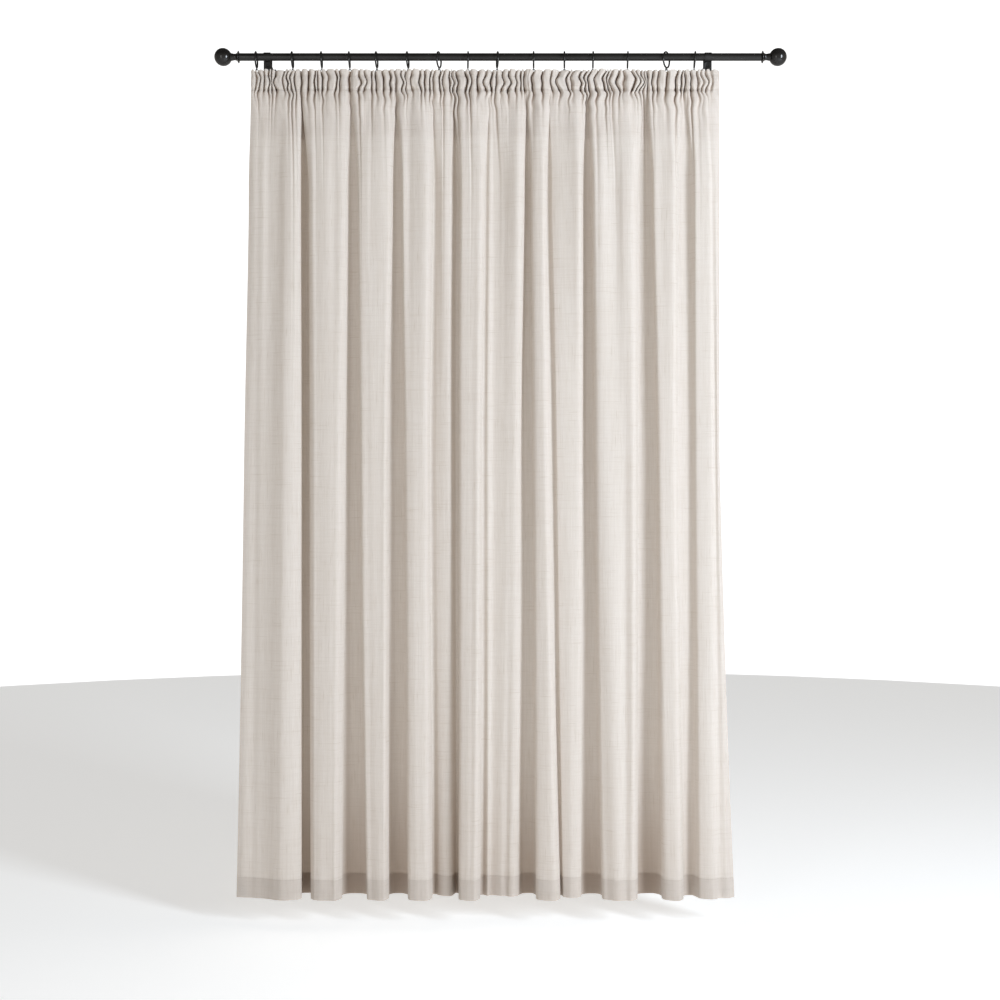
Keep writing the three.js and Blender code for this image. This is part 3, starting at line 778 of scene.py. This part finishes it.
def linen(name, lets_through=0.3):
    """Slubbed plain weave, warm off-white, that lets some light through where it is one layer."""
    paint = bpy.data.materials.new(name)
    paint.use_nodes = True
    tree = paint.node_tree
    shader = tree.nodes["Principled BSDF"]
    out = tree.nodes["Material Output"]
    shader.inputs["Roughness"].default_value = 0.85
    shader.inputs["Specular IOR Level"].default_value = 0.25
    shader.inputs["Sheen Weight"].default_value = 0.12
    shader.inputs["Sheen Roughness"].default_value = 0.5
    link = tree.links.new
    place, split = add_nodes(tree, "UVMap", "SeparateXYZ")
    place.uv_map = "cloth"
    link(place.outputs["UV"], split.inputs["Vector"])

    def maths(operation, first, second=None, third=None):
        node = tree.nodes.new("ShaderNodeMath")
        node.operation = operation
        for socket, value in zip(node.inputs, (first, second, third)):
            if value is None:
                continue
            if isinstance(value, (int, float)):
                socket.default_value = value
            else:
                link(value, socket)
        return node.outputs[0]

    # threads, each over one and under the next
    warp = maths("SINE", maths("MULTIPLY", split.outputs["X"], math.pi / THREAD_GAP))
    weft = maths("SINE", maths("MULTIPLY", split.outputs["Y"], math.pi / THREAD_GAP))
    over_under = maths("GREATER_THAN", maths("MULTIPLY", warp, weft), 0)
    warp_top = maths("MULTIPLY", maths("ABSOLUTE", warp), over_under)
    weft_top = maths("MULTIPLY", maths("ABSOLUTE", weft), maths("SUBTRACT", 1, over_under))
    weave = maths("ADD", warp_top, weft_top)

    def streaks(scale, detail, stretch, low, high):
        spread_out, noise, band = add_nodes(tree, "Mapping", "TexNoise", "MapRange")
        spread_out.inputs["Scale"].default_value = stretch
        link(place.outputs["UV"], spread_out.inputs["Vector"])
        link(spread_out.outputs["Vector"], noise.inputs["Vector"])
        noise.inputs["Scale"].default_value = scale
        noise.inputs["Detail"].default_value = detail
        band.inputs["From Min"].default_value = low
        band.inputs["From Max"].default_value = high
        link(noise.outputs["Fac"], band.inputs["Value"])
        return band.outputs["Result"]

    slub_down = streaks(1, 1.5, (330, 15, 1), 0.62, 0.74)
    slub_across = streaks(1, 1.5, (13, 300, 1), 0.62, 0.74)
    grain_down = streaks(1, 2, (520, 5, 1), 0.3, 0.7)
    grain_across = streaks(1, 2, (6, 480, 1), 0.3, 0.7)
    threads_down = streaks(1, 2.5, (190, 9, 1), 0.42, 0.68)
    threads_across = streaks(1, 2.5, (8, 170, 1), 0.46, 0.70)
    patches = streaks(1, 3, (9, 5, 1), 0.35, 0.65)

    def tinted(colour, factor, other):
        mix = tree.nodes.new("ShaderNodeMix")
        mix.data_type = "RGBA"
        for socket, value in ((mix.inputs[0], factor), (mix.inputs[6], colour), (mix.inputs[7], other)):
            if isinstance(value, float):
                socket.default_value = value
            elif isinstance(value, tuple):
                socket.default_value = (*value, 1)
            else:
                link(value, socket)
        return mix.outputs[2]

    tone = tinted((0.722, 0.664, 0.610), grain_down, (0.824, 0.770, 0.716))
    tone = tinted(tone, maths("MULTIPLY", grain_across, 0.55), (0.828, 0.776, 0.722))
    tone = tinted(tone, maths("MULTIPLY", threads_down, 0.4), (0.70, 0.632, 0.566))
    tone = tinted(tone, maths("MULTIPLY", threads_across, 0.35), (0.70, 0.632, 0.566))
    tone = tinted(tone, maths("MULTIPLY", patches, 0.25), (0.755, 0.690, 0.622))
    tone = tinted(tone, maths("MULTIPLY", slub_down, 0.5), (0.58, 0.505, 0.425))
    tone = tinted(tone, maths("MULTIPLY", slub_across, 0.5), (0.60, 0.525, 0.445))
    gaps = maths("MULTIPLY", maths("SUBTRACT", 1, weave), 0.16)
    tone = tinted(tone, gaps, (0.45, 0.38, 0.31))
    # rows of stitches: along the hem, and along the lower edge of the heading tape behind
    sewn = 0
    along = maths("MULTIPLY", split.outputs["X"], 2 * math.pi / STITCH_GAP)
    stitch = maths("GREATER_THAN", maths("SINE", along), -0.5)
    for line_at in (DROP - 0.0585, 0.0605):
        row = maths("COMPARE", split.outputs["Y"], line_at, 0.0006)
        sewn = maths("MAXIMUM", sewn, maths("MULTIPLY", row, stitch))
    tone = tinted(tone, maths("MULTIPLY", sewn, 0.45), (0.42, 0.36, 0.30))
    # painted shade: the hem band, folded double, is tinted darker for the light that comes through less
    # where the cloth is two layers
    double_hem_painted_shade = maths("GREATER_THAN", split.outputs["Y"], DROP - HEM)
    tone = tinted(tone, maths("MULTIPLY", double_hem_painted_shade, 0.20), (0.56, 0.495, 0.435))
    # painted shade: the cloth's per-point shade attribute tints the tone dark warm brown in the slits,
    # the valleys and near the hem
    painted_fold_shade = tree.nodes.new("ShaderNodeAttribute")
    painted_fold_shade.attribute_name = "painted_fold_shade"
    tone = tinted(tone, painted_fold_shade.outputs["Fac"], (0.31, 0.215, 0.15))
    link(tone, shader.inputs["Base Color"])

    height = maths("ADD", maths("MULTIPLY", weave, 0.5), maths("MULTIPLY", slub_down, 0.5))
    height = maths("ADD", height, maths("MULTIPLY", slub_across, 0.5))
    height = maths("SUBTRACT", height, maths("MULTIPLY", sewn, 1.5))
    bump = tree.nodes.new("ShaderNodeBump")
    bump.inputs["Strength"].default_value = 0.5
    bump.inputs["Distance"].default_value = 0.0004
    link(height, bump.inputs["Height"])
    link(bump.outputs["Normal"], shader.inputs["Normal"])

    through, both = add_nodes(tree, "BsdfTranslucent", "MixShader")
    link(tinted(tone, 0.6, (0.70, 0.57, 0.46)), through.inputs["Color"])
    both.inputs["Fac"].default_value = lets_through
    link(shader.outputs[0], both.inputs[1])
    link(through.outputs[0], both.inputs[2])
    link(both.outputs[0], out.inputs["Surface"])
    return paint


linen_paint = linen("slubbed linen")
doubled_paint = linen("slubbed linen, folded double", lets_through=0.1)
half = COLUMNS // 2
widths = []
for side, first, last in (("left", 0, half), ("right", half, COLUMNS)):
    part = slice(first, last + 1)
    width = surface(
        f"fabric_width_{side}_looks", cloth_x[:, part], cloth_y[:, part], cloth_z[:, part],
        across_cloth[None, part], below_top[:, None], linen_paint, cloth_painted_shade[:, part],
    )
    widths.append(width)


# ---- Hems and turnings
# The cloth's own edges turned to the back and stitched: 60 mm at the bottom, 13 mm at the sides,
# and 216 mm at the top, where it backs the heading tape. Each lies just behind the cloth.


def behind(x, y, gap):
    """The same rows moved off the cloth's back by the gap."""
    dx, dy = np.gradient(x, axis=1), np.gradient(y, axis=1)
    size = np.maximum(np.hypot(dx, dy), 1e-9)
    return x - gap * dy / size, y + gap * dx / size


# where the three hem weights lie, at the two corners and at the seam, flat against the cloth
WEIGHT_UP = 0.016  # a weight's middle above the hem's edge, and in from the corners
weight_spots = []
seam, far_edge = float(across_cloth[half]), float(across_cloth[-1])
for cloth_from_left in (WEIGHT_UP, seam + 0.004, far_edge - WEIGHT_UP):
    column = int(np.searchsorted(across_cloth, cloth_from_left))
    row = int(np.argmin(np.abs(below_top - (DROP - WEIGHT_UP))))
    run_x = cloth_x[row, column + 8] - cloth_x[row, column - 8]
    run_y = cloth_y[row, column + 8] - cloth_y[row, column - 8]
    under = np.abs(across_cloth - cloth_from_left) < 0.0135
    length = math.hypot(run_x, run_y)
    back = (-run_y / length, run_x / length)
    off_x = cloth_x[-8:, under] - cloth_x[row, column]
    off_y = cloth_y[-8:, under] - cloth_y[row, column]
    clear = float((off_x * back[0] + off_y * back[1]).max()) + 0.0004
    spot = (
        float(cloth_x[row, column]) + clear * back[0],
        float(cloth_y[row, column]) + clear * back[1],
        HEADING_TOP - DROP + WEIGHT_UP,
    )
    weight_spots.append((spot, math.atan2(run_y, run_x), cloth_from_left, clear))

turnings = []
columns = slice(None, None, 2)
for name, rows, paint in (
    ("bottom_hem", below_top >= DROP - HEM - 0.002, doubled_paint),
    ("top_turning", (below_top >= 0.004) & (below_top <= TOP_TURNING), linen_paint),
):
    gap = np.full(cloth_x[rows][:, columns].shape, 0.0012)
    if name == "bottom_hem":
        for _, _, place, clear in weight_spots:
            up_down = below_top[rows][:, None] - (DROP - WEIGHT_UP)
            away = np.hypot(across_cloth[None, columns] - place, up_down)
            gap += (clear + 0.0035) * (1 - step_up(away, 0.013, 0.024))
    back_x, back_y = behind(cloth_x[rows][:, columns], cloth_y[rows][:, columns], gap)
    turning = surface(
        name, back_x, back_y, cloth_z[rows][:, columns],
        across_cloth[None, columns] + 0.31, below_top[rows][:, None] + 0.17, paint,
    )
    turnings.append(turning)
rows = slice(1, None)
for side, columns in (
    ("left", across_cloth <= SIDE_HEM + 0.001),
    ("right", across_cloth >= across_cloth[-1] - SIDE_HEM - 0.001),
):
    back_x, back_y = behind(cloth_x[rows][:, columns], cloth_y[rows][:, columns], 0.0019)
    turnings.append(surface(
        f"side_hem_{side}", back_x, back_y, cloth_z[rows][:, columns],
        across_cloth[None, columns] + 0.5, below_top[rows][:, None] + 0.4, linen_paint,
    ))

for piece in widths + turnings:
    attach(piece, "panel")
    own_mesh(piece)
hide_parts("fabric_width_left")
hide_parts("fabric_width_right")


# ---- Heading tape, its cords and the hem weights
# Woven pencil-pleat tape stitched across the back of the heading, two gathering cords that run in
# it, and three round weights in the bottom hem.


def plain_finish(name, first, second, scale, roughness, metallic=0.0):
    paint = bpy.data.materials.new(name)
    paint.use_nodes = True
    tree = paint.node_tree
    shader = tree.nodes["Principled BSDF"]
    shader.inputs["Metallic"].default_value = metallic
    place, stretch, noise, tone, shine, bump = add_nodes(
        tree, "TexCoord", "Mapping", "TexNoise", "ValToRGB", "MapRange", "Bump"
    )
    stretch.inputs["Scale"].default_value = scale
    tree.links.new(place.outputs["Object"], stretch.inputs["Vector"])
    tree.links.new(stretch.outputs["Vector"], noise.inputs["Vector"])
    noise.inputs["Scale"].default_value = 1
    noise.inputs["Detail"].default_value = 3
    tone.color_ramp.elements[0].position = 0.35
    tone.color_ramp.elements[0].color = (*first, 1)
    tone.color_ramp.elements[1].position = 0.65
    tone.color_ramp.elements[1].color = (*second, 1)
    tree.links.new(noise.outputs["Fac"], tone.inputs["Fac"])
    tree.links.new(tone.outputs["Color"], shader.inputs["Base Color"])
    shine.inputs["To Min"].default_value = roughness - 0.08
    shine.inputs["To Max"].default_value = roughness + 0.08
    tree.links.new(noise.outputs["Fac"], shine.inputs["Value"])
    tree.links.new(shine.outputs["Result"], shader.inputs["Roughness"])
    bump.inputs["Strength"].default_value = 0.4
    bump.inputs["Distance"].default_value = 0.0003
    tree.links.new(noise.outputs["Fac"], bump.inputs["Height"])
    tree.links.new(bump.outputs["Normal"], shader.inputs["Normal"])
    return paint


tape_paint = plain_finish("tape weave", (0.70, 0.68, 0.63), (0.82, 0.80, 0.76), (900, 900, 300), 0.8)
cord_paint = plain_finish("cord braid", (0.68, 0.66, 0.61), (0.84, 0.82, 0.78), (700, 700, 700), 0.75)
weight_paint = plain_finish(
    "lead grey", (0.16, 0.165, 0.17), (0.25, 0.255, 0.26), (300, 300, 300), 0.5, metallic=0.7
)

GATHER = 0.0197  # from one gather of the tape to the next
tape_low, tape_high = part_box("heading_tape")
tape_x = np.linspace(tape_low.x, tape_high.x, 1101)
tape_wave = 0.0007 * np.sin((tape_x - tape_low.x) * 2 * math.pi / GATHER)
tape_z = np.linspace(tape_high.z, tape_low.z, 14)
grid_x, grid_z = np.meshgrid(tape_x, tape_z)
tape_y = np.full_like(grid_x, (tape_low.y + tape_high.y) / 2) + tape_wave[None, :]
tape = surface(
    "heading_tape_looks", grid_x, tape_y, grid_z, tape_x[None, :] * 2, -tape_z[:, None], tape_paint
)
tape_wall = tape.modifiers.new("tape thickness", "SOLIDIFY")
tape_wall.thickness = 0.0007
tape_wall.offset = 0
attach(tape, "panel")
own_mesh(tape)
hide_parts("heading_tape")

for name in ("tape_cord_upper", "tape_cord_lower"):
    low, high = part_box(name)
    middle_y, middle_z = (low.y + high.y) / 2, (low.z + high.z) / 2
    cord = bmesh.new()
    section = bmesh.ops.create_circle(cord, segments=8, radius=0.0008, cap_ends=True)
    bmesh.ops.rotate(
        cord, verts=cord.verts, cent=(0, 0, 0), matrix=Matrix.Rotation(math.pi / 2, 3, "Y")
    )
    bmesh.ops.translate(cord, verts=cord.verts, vec=(low.x, middle_y, middle_z))
    end = list(cord.faces)[0]
    steps = 330
    for step in range(steps):
        grown = bmesh.ops.extrude_face_region(cord, geom=[end])
        end = [item for item in grown["geom"] if isinstance(item, bmesh.types.BMFace)][0]
        moved = list(end.verts)
        x_now = low.x + (high.x - low.x) * (step + 1) / steps
        shift_y = 0.0003 * math.sin(x_now * 2 * math.pi / GATHER)
        centre = end.calc_center_median()
        bmesh.ops.translate(
            cord, verts=moved, vec=(x_now - centre.x, middle_y + shift_y - centre.y, 0)
        )
    inner = [
        face for face in cord.faces
        if len(face.verts) > 4 and low.x + 1e-6 < face.calc_center_median().x < high.x - 1e-6
    ]
    for face in inner:
        cord.faces.remove(face)
    bmesh.ops.recalc_face_normals(cord, faces=cord.faces)
    strand = finished(f"{name}_looks", cord, cord_paint, "panel", "tape_cord", name)
    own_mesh(strand)

weight_names = ("hem_weight_left", "hem_weight_seam", "hem_weight_right")
for name, (spot, way, _, _) in zip(weight_names, weight_spots):
    weight = bmesh.new()
    add_rod(weight, 0.012, 0.0004, 0.0034, 0, 0, sides=40)
    bmesh.ops.rotate(weight, verts=weight.verts, cent=(0, 0, 0), matrix=Matrix.Rotation(way, 3, "Z"))
    bmesh.ops.translate(weight, verts=weight.verts, vec=spot)
    coin = finished(f"{name}_looks", weight, weight_paint, "panel", "weight", name, edge=0.0005)
    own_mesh(coin)
